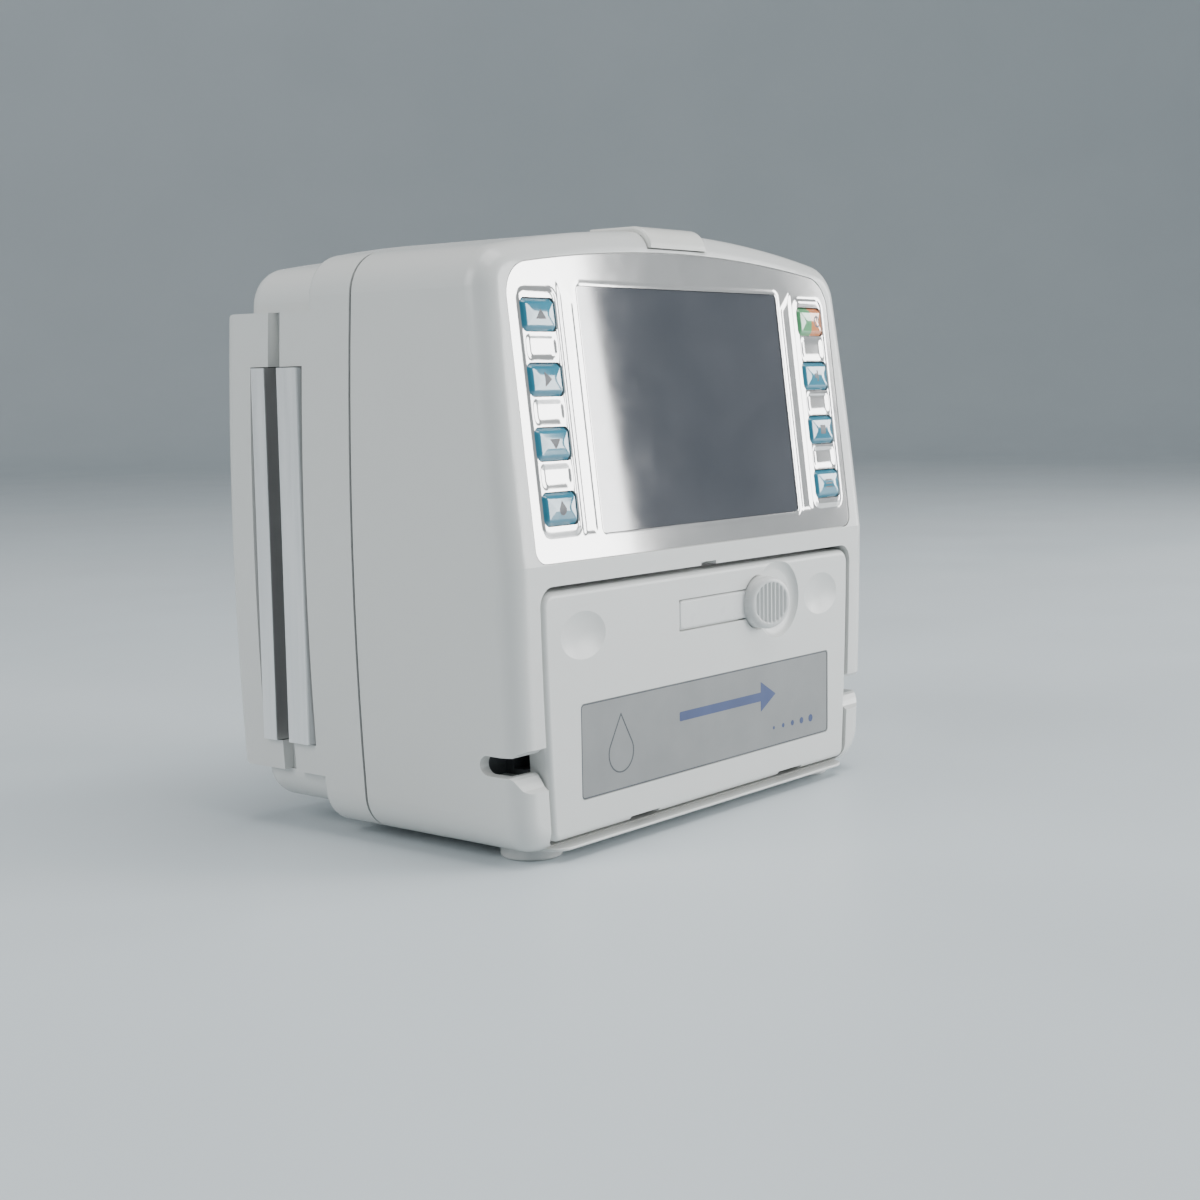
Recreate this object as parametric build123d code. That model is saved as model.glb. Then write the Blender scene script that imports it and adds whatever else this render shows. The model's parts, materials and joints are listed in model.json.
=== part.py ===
"""Bench-top infusion pump: a linear peristaltic pump in a two-shell case with a drop-down door.

Millimetres.  x is to the right seen from the front, y runs from the front to the rear, z is up.
Everything is laid out with y = 0 on the door's outer face and z = 0 on the surface that the feet
stand on.  save() then moves each piece back by MID_DEPTH, so that the origin ends up at the
middle of the footprint.  The upper part of the front leans back: points on it are given as
(x, s, n), with s measured up the slope from the crease and n outwards from the case's skin.
"""
from build123d import *
import math
import os

os.makedirs("parts", exist_ok=True)

# ---- driving dimensions of the case ------------------------------------------------------------
HALF_WIDTH = 71.0           # at the widest height
WIDEST_Z = 69.5
SIDE_CROWN_R = 833.0        # the sides bulge slightly
CASE_BOTTOM = 2.6
CASE_TOP = 138.2
TOP_CROWN_R = 351.0
TOP_CORNER_R = 10.0
BOTTOM_CORNER_R = 9.0
WALL = 2.4
CREASE_Z = 65.0             # the front is upright below this height
LEAN = math.radians(7.2)    # and leans back by this above it
FRONT_EDGE_R = 5.5
SEAM_Y = 47.2               # where the front and rear shells meet
SEAM_GAP = 0.7
CASE_SCREW_X = (-52.0, 52.0)
CASE_SCREW_Z = (10.6, 124.0)
REAR_Y = 90.0               # rear face of the rail block
KNOB_PROUD = 5.0            # the latch knob stands this far in front of the door
MID_DEPTH = (REAR_Y - KNOB_PROUD) / 2

# ---- rear shell ---------------------------------------------------------------------------------
STEP_Y = 61.5               # the full section ends here
TAIL_Y = 84.8               # rear face above and below the rail block
TAIL_INSET = 2.0
BLOCK_Z = (14.1, 120.5)     # the rail block, which reaches the full width and depth
RAIL_Y = (62.7, 80.3)
RAIL_Z = (21.3, 107.9)
RAIL_DEPTH = 9.0
RAIL_SLOT_Y = (70.4, 74.7)
RAIL_SLOT_DEPTH = 6.5
GUIDE_GROOVE_Y = (70.2, 74.2)
INLET_X = (16.0, 43.6)
INLET_Z = (24.0, 44.0)
SPEAKER_X, SPEAKER_Z = 42.0, 66.0

# ---- feet: radius, then the middle of each as (x, y) ----------------------------------------------
FOOT_R = 6.9
FOOT_REAR_R = 5.4
FEET_FRONT = ((-54.2, 10.6), (54.2, 10.6))
FEET_REAR = ((-42.0, 53.6), (42.0, 53.6))

# ---- door ---------------------------------------------------------------------------------------
BAY_HALF = 62.0             # opening for the door
BAY_Z = (3.8, 60.4)
BAY_Y = 12.0                # depth of the solid posts beside the door
LIP_HALF = 59.0             # lip in front of the door's lower edge
LIP_Y, LIP_Z = -1.0, 3.3
DOOR_HALF = 61.2
DOOR_Z = (4.7, 59.2)
DOOR_T = 5.6
DOOR_SKIN = 2.2
DOOR_RIM = 1.8
LINER_Y = 3.9
HINGE_Y, HINGE_Z = 3.2, 8.0
HINGE_X = (-26.4, 33.5)     # middles of the two hinges
LUG_HALF = 4.9
EAR_T = 2.2
PIN_R = 1.0
LABEL_X = (-49.0, 51.0)
LABEL_Y = (0.1, 0.6)
LABEL_Z = (12.5, 33.7)
DIMPLE_X, DIMPLE_Z = 47.7, 48.9
DIMPLE_DEPTH = 1.0
DIMPLE_R = 14.5
DIMPLE_STRETCH = 1.45

# ---- latch --------------------------------------------------------------------------------------
LATCH_Z = 49.4
LATCH_TRAVEL = 8.0
KNOB_X, KNOB_R = 20.0, 6.45
KNOB_MID = 3.675            # its ribbed face stands this proud over its middle
KNOB_TILT = 14.6            # degrees, and rises to the right
KNOB_EDGE_R = 1.2
BLADE_X0 = -12.5
BLADE_HALF = 3.375
DISH_X, DISH_R = 27.9, 9.6
DISH_FLOOR_R = 7.2
RECESS_DEPTH = 1.2
STEM_HALF = 2.0
HOOK_X = (-52.0, 46.0)
HOOK_W, HOOK_T = 5.0, 1.6
HOOK_NOSE = 2.4

# ---- front panel on the leaning face --------------------------------------------------------------
OVERLAY_HALF = 62.3
OVERLAY_S = (0.4, 68.4)
OVERLAY_CROWN_R = 420.0
OVERLAY_RECESS = 0.7
OVERLAY_T = 0.6
WINDOW_HALF = 39.0
WINDOW_S = (5.6, 60.0)
KEY_X = 53.06
KEY_S = (53.4, 39.5, 25.7, 11.8)
KEY_W, KEY_H = 11.2, 7.0
KEY_R = 1.3
KEY_PROUD = 0.9
KEY_GAP = 0.25

# ---- alarm light ------------------------------------------------------------------------------------
LENS_X = (-11.6, 10.3)
LENS_FRONT_S = 69.6
LENS_REAR_Y = 26.0
LENS_PROUD = 1.0
LENS_T = 2.2

# ---- tube path -----------------------------------------------------------------------------------
TUBE_Z = 22.6
SLOT_HEIGHT = 4.4
SLOT_END_Y = 11.2
POCKET_X, POCKET_Y = 66.9, 4.6    # hollow behind the outer wall, where the tube turns in
POCKET_HALF = (3.4, 5.0)
CHANNEL_Y = 10.0
HEAD_Y = (6.1, 12.0)
HEAD_SCREWS = ((63.8, 17.0), (63.8, 47.0))
SENSOR_X = (-46.0, -36.0)
SENSOR_X_GAP = (-46.1, -35.9)
OCCLUSION_X = -28.5

# ---- pumping mechanism ------------------------------------------------------------------------------
CAM_Y = 30.6
FINGERS = 8
FINGER_PITCH = 4.0
FINGER_T = 3.6
FINGER_HALF = 3.0
FINGER_MID_TIP_Y = 7.9
CAM_THROW = 0.9
CAM_R = 6.0
BEARING_R = 5.0
SHAFT_R = 2.5
YOKE_BAR = 2.25
FRAME_X = 18.0
FRAME_T = 2.0
FRAME_REAR_Y = 45.0
PULLEY_X = (22.6, 27.6)
CAM_PULLEY_R = 14.0
MOTOR_PULLEY_R = 6.0
BELT_T = 1.2
MOTOR_Y, MOTOR_Z = 52.0, 34.0
MOTOR_X = (29.4, 59.0)
MOTOR_HALF = 14.0
BRACKET_T = 1.5

FIT = 0.05                  # radial running clearance of the shafts
GAP = 0.3                   # between curved faces of neighbouring pieces


# ---- helpers -----------------------------------------------------------------------------------------
def save(name, *shapes):
    """Writes one named piece, which may be several separate solids."""
    placed = [Pos(0, -MID_DEPTH, 0) * shape for shape in shapes]
    solids = [solid for shape in placed for solid in shape.solids()]
    body = solids[0] if len(solids) == 1 else Compound(children=solids)
    export_step(body, f"parts/{name}.step")


def box(x, y, z):
    """A block between two x, two y and two z values."""
    size = [b - a for a, b in (x, y, z)]
    middle = [(a + b) / 2 for a, b in (x, y, z)]
    return Pos(*middle) * Box(*size)


def rod_x(radius, x0, x1, y, z):
    return Pos((x0 + x1) / 2, y, z) * Rot(0, 90, 0) * Cylinder(radius, x1 - x0)


def rod_y(radius, y0, y1, x, z):
    return Pos(x, (y0 + y1) / 2, z) * Rot(90, 0, 0) * Cylinder(radius, y1 - y0)


def rod_z(radius, z0, z1, x, y):
    return Pos(x, y, (z0 + z1) / 2) * Cylinder(radius, z1 - z0)


def slab(face, y0, y1):
    """Pulls a face drawn in x and z from depth y0 to depth y1."""
    return extrude(Plane.XZ.offset(-y0) * face, y1 - y0, dir=(0, 1, 0))


def prism_x(points, x0, x1):
    """Pulls a polygon drawn in y and z from x0 to x1."""
    face = make_face(Polyline(*points, close=True))
    return extrude(Plane.YZ.offset(x0) * face, x1 - x0, dir=(1, 0, 0))


LEANING = Plane(
    origin=(0, 0, CREASE_Z),
    x_dir=(1, 0, 0),
    z_dir=(0, -math.cos(LEAN), math.sin(LEAN)),
)


def leaning(face, n0, n1):
    """Pulls a face drawn in x and s from n0 to n1, both measured out of the leaning face."""
    return extrude(LEANING.offset(n0) * face, n1 - n0)


def lean_y(z, inwards=0.0):
    """The y of the leaning face at a height, or of a surface that far inside it."""
    return (z - CREASE_Z) * math.tan(LEAN) + inwards / math.cos(LEAN)


def rect(x0, x1, z0, z1, radius=0.0):
    face = Pos((x0 + x1) / 2, (z0 + z1) / 2) * Rectangle(x1 - x0, z1 - z0)
    return fillet(face.vertices(), radius) if radius else face


def side_x(z, half=HALF_WIDTH):
    """Half-width of the bulging side at a height."""
    return half - (z - WIDEST_Z) ** 2 / (2 * SIDE_CROWN_R)


def bulged(half, z0, z1, r_low, r_high, crown_r=None, z_crown=0.0):
    """A rounded face whose sides bulge like the case's, and whose top is an arc or a line."""
    x_low, x_high = side_x(z0, half), side_x(z1, half)
    z_high = z1
    if crown_r:
        for _ in range(5):
            z_high = z_crown - x_high ** 2 / (2 * crown_r)
            x_high = side_x(z_high, half)
    z_mid = (z0 + z_high) / 2
    x_mid = side_x(z_mid, half)
    bottom = Line((-x_low, z0), (x_low, z0))
    right = ThreePointArc((x_low, z0), (x_mid, z_mid), (x_high, z_high))
    if crown_r:
        top = ThreePointArc((x_high, z_high), (0, z_crown), (-x_high, z_high))
    else:
        top = Line((x_high, z_high), (-x_high, z_high))
    left = ThreePointArc((-x_high, z_high), (-x_mid, z_mid), (-x_low, z0))
    face = make_face([bottom, right, top, left])
    low = [v for v in face.vertices() if v.Y < z_mid]
    face = fillet(low, r_low)
    high = [v for v in face.vertices() if v.Y > z_high - 1 and abs(v.X) > x_high - 1]
    return fillet(high, r_high)


def case_section(inset=0.0):
    """The case seen from the front, or a section that far inside it."""
    return bulged(
        HALF_WIDTH - inset,
        CASE_BOTTOM + inset,
        CASE_TOP,
        BOTTOM_CORNER_R - inset,
        TOP_CORNER_R - inset,
        TOP_CROWN_R - inset,
        CASE_TOP - inset,
    )


def fillet_where(solid, radius, wanted):
    edges = [e for e in solid.edges() if wanted(e)]
    return fillet(edges, radius)


def both_sides(shape):
    return shape + mirror(shape, Plane.YZ)


def screw(radius, head_r, head_t, x, z, y_tip, y_seat):
    """A pan-head screw driven forwards from the rear, with a hexagon socket."""
    shank = rod_y(radius, y_tip, y_seat, x, z)
    head = rod_y(head_r, y_seat, y_seat + head_t, x, z)
    socket = slab(Pos(x, z) * RegularPolygon(radius * 0.75, 6), y_seat + head_t / 2, y_seat + head_t)
    return shank + head - socket


# ---- front shell -------------------------------------------------------------------------------------
def front_cut(inwards, y_low, z_low):
    """Everything in front of the front face, or of a surface that far inside it."""
    high = CASE_TOP + 20
    points = [(-20, -20), (y_low, -20), (y_low, z_low)]
    if inwards:
        points.append((lean_y(z_low, inwards), z_low))
    points += [(lean_y(high, inwards), high), (-20, high)]
    return prism_x(points, -100, 100)


def on_front(edge):
    """True for the edges that run round the front face."""
    for t in (0.0, 0.5, 1.0):
        p = edge @ t
        limit = 0.0 if p.Z < CREASE_Z else lean_y(p.Z)
        if abs(p.Y - limit) > 0.01:
            return False
    along_crease = all(abs((edge @ t).Z - CREASE_Z) < 0.01 for t in (0.0, 1.0))
    return not along_crease


def lens_solid(grow, x0, x1):
    """The wrap-over lens, grown by a clearance on every side."""
    z_low = CREASE_Z + LENS_FRONT_S * math.cos(LEAN) - grow
    top = CASE_TOP + LENS_PROUD + grow
    out = LENS_PROUD * 0.8 + grow
    inside = LENS_T + 2 * grow
    rear = LENS_REAR_Y + grow
    solid = prism_x(
        [
            (lean_y(z_low) - out, z_low),
            (lean_y(top) - out, top),
            (rear, top),
            (rear, top - inside),
            (lean_y(top) - out + inside, top - inside),
            (lean_y(z_low) - out + inside, z_low),
        ],
        x0,
        x1,
    )
    brow = [e for e in solid.edges() if abs(e.center().Z - top) < 0.01 and e.center().Y < 10]
    return fillet(brow, FRONT_EDGE_R)


def is_lip_front(edge):
    """True for the upper and lower edges round the front of the lip below the door."""
    flat = abs(edge.tangent_at(0.5).Z) < 0.1
    return flat and (edge @ 0).Y < 5.5 and (edge @ 1).Y < 5.5


def make_front_shell():
    shell = slab(case_section(), 0, SEAM_Y - SEAM_GAP / 2) - front_cut(0, 0, CREASE_Z)
    shell = fillet_where(shell, FRONT_EDGE_R, on_front)
    hollow = slab(case_section(WALL), -5, SEAM_Y + 5)
    shell -= hollow - front_cut(WALL, BAY_Y, CREASE_Z - WALL)

    lip = box((-LIP_HALF, LIP_HALF), (LIP_Y, 6), (CASE_BOTTOM, LIP_Z))
    lip = fillet_where(lip, 5.0, lambda e: abs(e.tangent_at(0.5).Z) > 0.9 and e.center().Y < LIP_Y + 0.01)
    lip = fillet_where(lip, 0.3, is_lip_front)
    shell += lip

    for x in CASE_SCREW_X:
        low, high = CASE_SCREW_Z
        shell += rod_y(3.6, 16, SEAM_Y - 1.0, x, low)
        shell += box((x - 1.2, x + 1.2), (16, SEAM_Y - 1.0), (CASE_BOTTOM + 1, low))
        shell += rod_y(3.6, 18, SEAM_Y - 1.0, x, high)
        shell += box((x - 1.2, x + 1.2), (18, SEAM_Y - 1.0), (high, high + 9.0))
        for z in CASE_SCREW_Z:
            shell -= rod_y(1.5, SEAM_Y - 15, SEAM_Y, x, z)

    bay = bulged(BAY_HALF, *BAY_Z, 2.8, 4.2)
    shell -= slab(bay, -5, BAY_Y + 0.01)
    shell -= box((-4, 2), (-1, 3), (BAY_Z[1] - 0.5, BAY_Z[1] + 0.8))

    shell -= leaning(overlay_face(0.25), -OVERLAY_RECESS, 20)
    shell -= leaning(
        rect(-WINDOW_HALF - 1, WINDOW_HALF + 1, WINDOW_S[0] - 1, WINDOW_S[1] + 1, 1.5),
        -5,
        1,
    )
    for x, s in key_places():
        shell -= leaning(key_face(x, s, KEY_GAP), -5, 1)

    shell -= lens_solid(GAP, LENS_X[0] - GAP, LENS_X[1] + GAP)
    shell -= box((LENS_X[0] + 2.5, LENS_X[1] - 2.5), (17, 23), (125, CASE_TOP))

    half = SLOT_HEIGHT / 2
    low, high = TUBE_Z - half, TUBE_Z + half
    tube = box((58, 75), (-5, SLOT_END_Y - half), (low, high))
    tube += rod_x(half, 58, 75, SLOT_END_Y - half, TUBE_Z)
    lower = [
        (3.4, low),
        (2.6, low - 0.5),
        (1.8, low - 1.7),
        (1.1, low - 2.9),
        (0.2, low - 3.6),
        (-5, low - 3.9),
    ]
    upper = [(-5, high + 1.6), (0.4, high + 1.3), (1.6, high + 0.7), (2.6, high)]
    funnel = prism_x(lower + upper, 58, 75)
    pocket = box(
        (58, POCKET_X),
        (POCKET_Y, BAY_Y + 1),
        (TUBE_Z - POCKET_HALF[0], TUBE_Z + POCKET_HALF[1]),
    )
    tube += pocket
    shell -= both_sides(tube + funnel)
    for x, y in FEET_FRONT:
        shell -= rod_z(FOOT_R + 0.15, CASE_BOTTOM - 1, CASE_BOTTOM + 0.8, x, y)
    for x, z in HEAD_SCREWS:
        shell -= both_sides(rod_y(1.25, 4, BAY_Y + 1, x, z))
    save("front_casing", shell)


# ---- rear shell ----------------------------------------------------------------------------------------
def tail_section(inset=0.0):
    return bulged(
        HALF_WIDTH - TAIL_INSET - inset,
        CASE_BOTTOM + 3.4 + inset,
        CASE_TOP,
        8.0 - inset,
        9.0 - inset,
        TOP_CROWN_R - inset,
        CASE_TOP - 2.2 - inset,
    )


def is_step_rim(edge):
    """True for the outer edges where the full section ends, above and below the rail block."""
    flat = min(abs(edge.center().Z - z) for z in BLOCK_Z) < 0.01
    return abs(edge.center().Y - STEP_Y) < 0.01 and not flat


def make_rear_shell():
    start = SEAM_Y + SEAM_GAP / 2
    shell = slab(case_section(), start, REAR_Y)
    shell -= box((-80, 80), (STEP_Y, REAR_Y + 1), (BLOCK_Z[1], 200))
    shell -= box((-80, 80), (STEP_Y, REAR_Y + 1), (-10, BLOCK_Z[0]))
    shell = fillet_where(shell, 3.6, lambda e: abs(e.center().Y - REAR_Y) < 0.01)
    shell = fillet_where(shell, 1.7, is_step_rim)
    tail = slab(tail_section(), STEP_Y - 8, TAIL_Y)
    shell += fillet_where(tail, 5.2, lambda e: abs(e.center().Y - TAIL_Y) < 0.01)

    hollow = slab(case_section(WALL), start - 1, STEP_Y - WALL)
    hollow += slab(tail_section(WALL), STEP_Y - WALL - 4, TAIL_Y - WALL) & box(
        (-59.5, 59.5),
        (0, 100),
        (0, 200),
    )
    hollow += box(
        (-59.5, 59.5),
        (STEP_Y - WALL - 4, REAR_Y - WALL),
        (BLOCK_Z[0] + WALL, BLOCK_Z[1] - WALL),
    )
    shell -= hollow

    pocket = box((HALF_WIDTH - RAIL_DEPTH - 0.2, 80), RAIL_Y, (RAIL_Z[0] - 0.25, RAIL_Z[1] + 0.25))
    groove = box((HALF_WIDTH - 4.5, 80), GUIDE_GROOVE_Y, (BLOCK_Z[0] - 5, BLOCK_Z[1] + 5))
    groove &= box((0, 80), (0, 100), (BLOCK_Z[0], BLOCK_Z[1]))
    shell -= both_sides(pocket + groove)

    for x in CASE_SCREW_X:
        for z in CASE_SCREW_Z:
            post_end = TAIL_Y - (5.0 if z < WIDEST_Z else 1.5)
            shell += rod_y(4.2, start + 1.0, post_end, x, z)
            shell -= rod_y(1.7, start, 60, x, z)
            shell -= rod_y(3.1, start + 6, TAIL_Y + 1, x, z)
    shell -= box(INLET_X, (REAR_Y - 4, REAR_Y + 1), INLET_Z)
    for x, z in speaker_holes():
        shell -= rod_y(0.9, REAR_Y - 4, REAR_Y + 1, x, z)
    for x, y in FEET_REAR:
        shell -= rod_z(FOOT_REAR_R + 0.15, CASE_BOTTOM - 1, CASE_BOTTOM + 0.8, x, y)
    save("rear_casing", shell)

    seal = slab(case_section(0.5), start - SEAM_GAP + 0.05, start - 0.05)
    seal -= slab(case_section(1.7), start - 2, start + 1)
    save("casing_seal", seal)


def speaker_holes():
    places = [(SPEAKER_X, SPEAKER_Z)]
    for ring, count in ((4.0, 6), (8.0, 12)):
        for k in range(count):
            turn = 2 * math.pi * k / count
            places.append((SPEAKER_X + ring * math.cos(turn), SPEAKER_Z + ring * math.sin(turn)))
    return places


# ---- rails, feet ------------------------------------------------------------------------------------------
def make_rails():
    clear = 0.15
    lips = HALF_WIDTH
    floor_x = HALF_WIDTH - RAIL_DEPTH
    rail = box((floor_x, lips), (RAIL_Y[0] + clear, RAIL_Y[1] - clear), RAIL_Z)
    rail = chamfer(
        [e for e in rail.edges() if e.center().X > lips - 0.01 and abs(e.tangent_at(0.5).Z) > 0.9],
        1.0,
        2.2,
    )
    rail -= box((lips - RAIL_SLOT_DEPTH, lips + 1), RAIL_SLOT_Y, (RAIL_Z[0] - 1, RAIL_Z[1] + 1))
    save("rail_right", rail)
    save("rail_left", mirror(rail, Plane.YZ))


def make_feet():
    for names, places, radius in (
        (("foot_front_left", "foot_front_right"), FEET_FRONT, FOOT_R),
        (("foot_rear_left", "foot_rear_right"), FEET_REAR, FOOT_REAR_R),
    ):
        for name, (x, y) in zip(names, places):
            foot = rod_z(radius, 0, CASE_BOTTOM + 0.75, x, y)
            foot = fillet_where(
                foot,
                0.7,
                lambda e: e.center().Z < 0.01 and e.geom_type == GeomType.CIRCLE,
            )
            save(name, foot)


# ---- front panel -----------------------------------------------------------------------------------------
def overlay_face(grow=0.0):
    half = OVERLAY_HALF + grow
    low, high = OVERLAY_S[0] - grow, OVERLAY_S[1] + grow
    radius = OVERLAY_CROWN_R + grow
    shoulder = high - half ** 2 / (2 * radius)
    face = make_face(
        [
            Line((-half, low), (half, low)),
            Line((half, low), (half, shoulder)),
            ThreePointArc((half, shoulder), (0, high), (-half, shoulder)),
            Line((-half, shoulder), (-half, low)),
        ]
    )
    face = fillet([v for v in face.vertices() if v.Y < low + 1], 3.0 + grow)
    return fillet([v for v in face.vertices() if v.Y > shoulder - 1 and abs(v.X) > half - 1], 8.0 + grow)


def key_places():
    return [(side * KEY_X, s) for side in (-1, 1) for s in KEY_S]


def key_face(x, s, grow=0.0):
    w, h = KEY_W / 2 + grow, KEY_H / 2 + grow
    return rect(x - w, x + w, s - h, s + h, KEY_R + grow)


def make_front_panel():
    overlay = leaning(overlay_face(), -OVERLAY_RECESS, -OVERLAY_RECESS + OVERLAY_T)
    window = rect(-WINDOW_HALF, WINDOW_HALF, *WINDOW_S, 1.0)
    overlay -= leaning(
        rect(-WINDOW_HALF - 0.1, WINDOW_HALF + 0.1, WINDOW_S[0] - 0.1, WINDOW_S[1] + 0.1, 1.0),
        -3,
        3,
    )
    for x, s in key_places():
        overlay -= leaning(key_face(x, s, KEY_GAP), -3, 3)
    save("membrane_overlay", overlay)

    save("display_window", leaning(window, -1.9, -0.35))
    module = leaning(rect(-41.5, 41.5, 1.5, 63.0), -6.6, -2.7)
    module += leaning(rect(-18, 18, 3.0, 9.0), -7.6, -6.5)
    save("display_module", module)

    names = [f"key_{side}_{k}" for side in ("left", "right") for k in (1, 2, 3, 4)]
    for name, (x, s) in zip(names, key_places()):
        cap = leaning(key_face(x, s), -2.6, KEY_PROUD)
        cap = fillet_where(cap, 0.6, is_outer_rim)
        cap += leaning(rect(x - 6.4, x + 6.4, s - 4.3, s + 4.3, 1.5), -3.3, -2.6)
        cap += leaning(Pos(x, s) * Circle(1.5), -3.5, -3.2)
        save(name, cap)

    left = leaning(rect(-60.5, -43.0, 4.0, 58.3, 1.0), -6.4, -5.0)
    right = mirror(left, Plane.YZ)
    save("keypad_boards", left, right)
    domes = []
    for x, s in key_places():
        dome = leaning(Pos(x, s) * Circle(2.5), -5.0, -4.2)
        domes.append(chamfer(dome.edges().group_by(Axis.Y)[0], 0.4))
    save("key_switches", *domes)

    main = leaning(rect(-50.0, 50.0, 2.0, 58.0, 1.0), -20.0, -18.4)
    for x0, x1, s0, s1, high in ((-14, 14, 22, 50, 1.6), (20, 30, 30, 44, 2.4), (-44, -24, 8, 18, 5.5), (26, 46, 8, 16, 5.5)):
        main += leaning(rect(x0, x1, s0, s1), -20.0 - high, -19.9)
    for x in (-45, 45):
        for s in (5, 55):
            main += leaning(Pos(x, s) * Circle(2.0), -18.5, -7.8)
    save("main_board", main)


def is_outer_rim(edge):
    """True for the edges of a key's outermost face."""
    centre = LEANING.to_local_coords(edge.center())
    return centre.Z > KEY_PROUD - 0.05


def make_alarm_light():
    lens = lens_solid(0, *LENS_X)
    lens = fillet_where(lens, 0.6, is_lens_rim)
    save("alarm_light", lens)
    board = box((-11, 10), (16, 25), (129.0, 130.4))
    for x in (-6, 0, 6):
        board += box((x - 1.6, x + 1.6), (18.5, 21.5), (130.3, 132.0))
    save("alarm_board", board)


def is_lens_rim(edge):
    """True for the long edges of the lens's outer face, at its two ends."""
    centre = edge.center()
    at_end = min(abs(centre.X - LENS_X[0]), abs(centre.X - LENS_X[1])) < 0.01
    return at_end and centre.Z > CASE_TOP + LENS_PROUD - 0.01


# ---- door ---------------------------------------------------------------------------------------------------
def door_face(inset=0.0):
    return bulged(DOOR_HALF - inset, DOOR_Z[0] + inset, DOOR_Z[1] - inset, 2.2 - inset, 3.4 - inset)


def label_face(grow=0.0):
    (x0, x1), (z0, z1) = LABEL_X, LABEL_Z
    return rect(x0 - grow, x1 + grow, z0 - grow, z1 + grow, 1.0)


def lug_span(x):
    return (x - LUG_HALF, x + LUG_HALF)


def make_door():
    panel = slab(door_face(), 0, DOOR_T)
    panel = fillet_where(panel, 1.4, lambda e: abs(e.center().Y) < 0.01)
    panel -= slab(door_face(DOOR_RIM), DOOR_SKIN, DOOR_T + 1)

    recess = rect(BLADE_X0 - 0.35, KNOB_X, LATCH_Z - BLADE_HALF - 0.35, LATCH_Z + BLADE_HALF + 0.35)
    recess += Pos(KNOB_X, LATCH_Z) * Circle(KNOB_R + 0.4)
    recess += rect(KNOB_X, DISH_X, LATCH_Z - KNOB_R - 0.4, LATCH_Z + KNOB_R + 0.4)
    panel -= slab(recess, -1, RECESS_DEPTH)
    dish = make_face(
        [
            Line((0, -1), (DISH_R, -1)),
            Line((DISH_R, -1), (DISH_R, 0)),
            ThreePointArc((DISH_R, 0), (DISH_R - 0.86, 0.72), (DISH_FLOOR_R, RECESS_DEPTH)),
            Line((DISH_FLOOR_R, RECESS_DEPTH), (0, RECESS_DEPTH)),
            Line((0, RECESS_DEPTH), (0, -1)),
        ]
    )
    panel -= Pos(DISH_X, 0, LATCH_Z) * revolve(dish, Axis.Y)
    panel -= box(
        (KNOB_X - STEM_HALF - 0.3, KNOB_X + LATCH_TRAVEL + STEM_HALF + 0.3),
        (0, 3),
        (LATCH_Z - 2.3, LATCH_Z + 2.3),
    )
    for x in (-DIMPLE_X, DIMPLE_X):
        panel -= Pos(x, DIMPLE_DEPTH - DIMPLE_R, DIMPLE_Z) * scale(
            Sphere(DIMPLE_R),
            (DIMPLE_STRETCH, 1, 1),
        )
    panel -= slab(label_face(0.1), -1, LABEL_Y[1])

    for x in HINGE_X:
        ears = rod_x(2.3, x - LUG_HALF - 0.4 - EAR_T, x + LUG_HALF + 0.4 + EAR_T, HINGE_Y, HINGE_Z)
        ears += box(
            (x - LUG_HALF - 0.4 - EAR_T, x + LUG_HALF + 0.4 + EAR_T),
            (DOOR_SKIN - 0.5, 4.2),
            (DOOR_Z[0] + 1, HINGE_Z),
        )
        ears -= box((x - LUG_HALF - 0.4, x + LUG_HALF + 0.4), (-1, 10), (0, 20))
        panel += ears
        panel -= rod_x(PIN_R, x - LUG_HALF - EAR_T - 0.2, x + LUG_HALF + EAR_T + 0.2, HINGE_Y, HINGE_Z)
        panel -= box((x - LUG_HALF - 0.4, x + LUG_HALF + 0.4), (-1, 10), (DOOR_Z[0] - 1, DOOR_Z[0] + 0.9))
        panel -= box((x - LUG_HALF - 0.4, x + LUG_HALF + 0.4), (1.0, 10), (DOOR_Z[0] - 1, HINGE_Z + 2.6))
    save("door_panel", panel)

    pins = [rod_x(PIN_R, x - LUG_HALF - EAR_T, x + LUG_HALF + EAR_T, HINGE_Y, HINGE_Z) for x in HINGE_X]
    save("hinge_pins", *pins)

    save("label_plate", slab(label_face(), *LABEL_Y))

    liner = slab(door_face(DOOR_RIM + 0.1), LINER_Y, DOOR_T)
    liner -= box((-80, 80), (0, 10), (0, 12.4))
    liner -= box((-18.3, 18.3), (0, 10), (TUBE_Z - 4.0, TUBE_Z + 4.0))
    for x in HOOK_X:
        liner -= box(
            (x - HOOK_W / 2 - 0.3, x + HOOK_W / 2 + LATCH_TRAVEL + 0.3),
            (0, 10),
            (LATCH_Z - HOOK_T / 2 - 0.3, LATCH_Z + HOOK_T / 2 + 0.3),
        )
    for x in (-56, -30, 30, 56):
        liner += rod_y(1.6, DOOR_SKIN, LINER_Y + 0.1, x, 36.0)
    save("door_liner", liner)

    plate = box((-18, 18), (4.0, 6.0), (TUBE_Z - 3.7, TUBE_Z + 3.7))
    plate = fillet_where(plate, 0.5, lambda e: e.center().Y > 5.99)
    plate += box((-20, 20), (3.1, 3.7), (TUBE_Z - 5.2, TUBE_Z + 5.2))
    plate += box((-18, 18), (3.6, 4.1), (TUBE_Z - 3.7, TUBE_Z + 3.7))
    save("pressure_plate", plate)


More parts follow.
